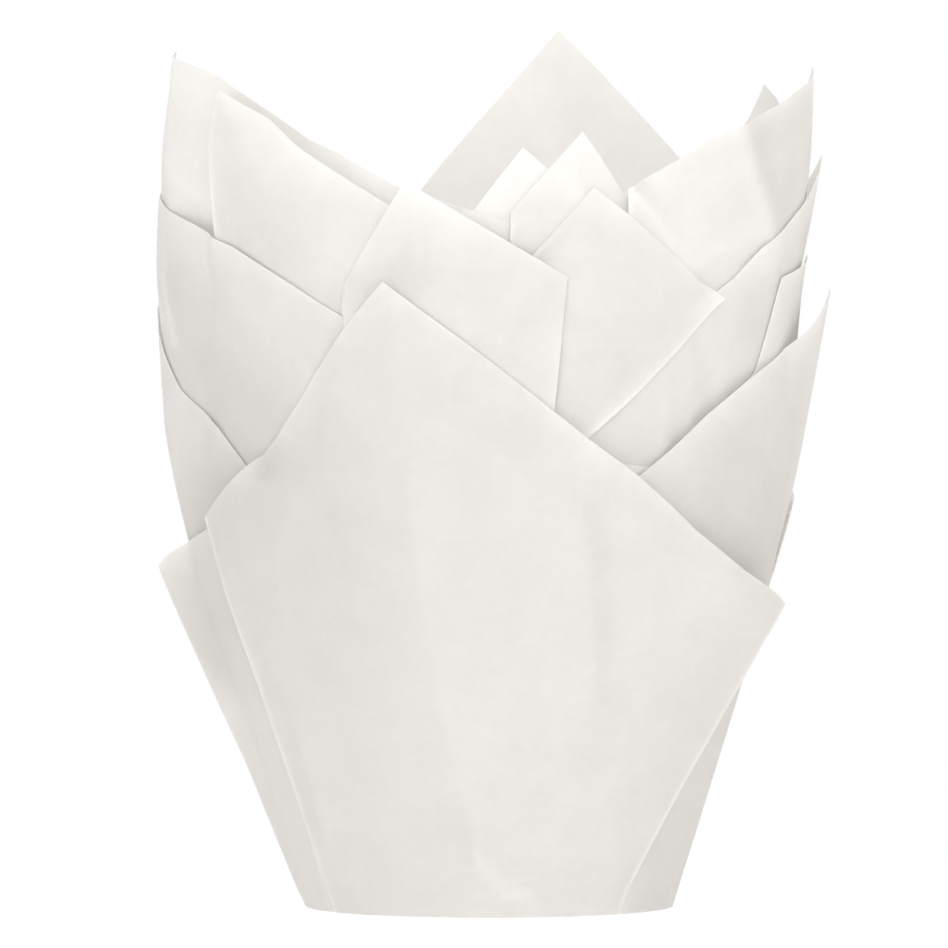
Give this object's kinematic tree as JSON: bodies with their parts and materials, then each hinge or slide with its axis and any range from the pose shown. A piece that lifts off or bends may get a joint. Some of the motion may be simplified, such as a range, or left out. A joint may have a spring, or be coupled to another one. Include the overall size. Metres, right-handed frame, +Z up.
{
  "type": "cupcake liner",
  "caption": "Tall white tulip cupcake liner of thin greaseproof paper: square sheets folded one inside the other round a round foot, their corners standing up as pointed petals.",
  "frame": {"origin": "middle of the underside of the round foot, on the surface that the liner stands on", "axes": "+Z up out of the mouth, -Y towards the low front petal, +X to the right as seen from the front"},
  "size_m": [0.0931, 0.0906, 0.1206],
  "materials": {
    "outer_paper": "satin",
    "second_paper": "satin",
    "third_paper": "satin",
    "fourth_paper": "satin",
    "inner_paper": "satin"
  },
  "bodies": {
    "root": {"outer_sheet": "outer_paper", "second_sheet": "second_paper", "third_sheet": "third_paper", "fourth_sheet": "fourth_paper", "inner_sheet": "inner_paper"}
  },
  "joints": []
}
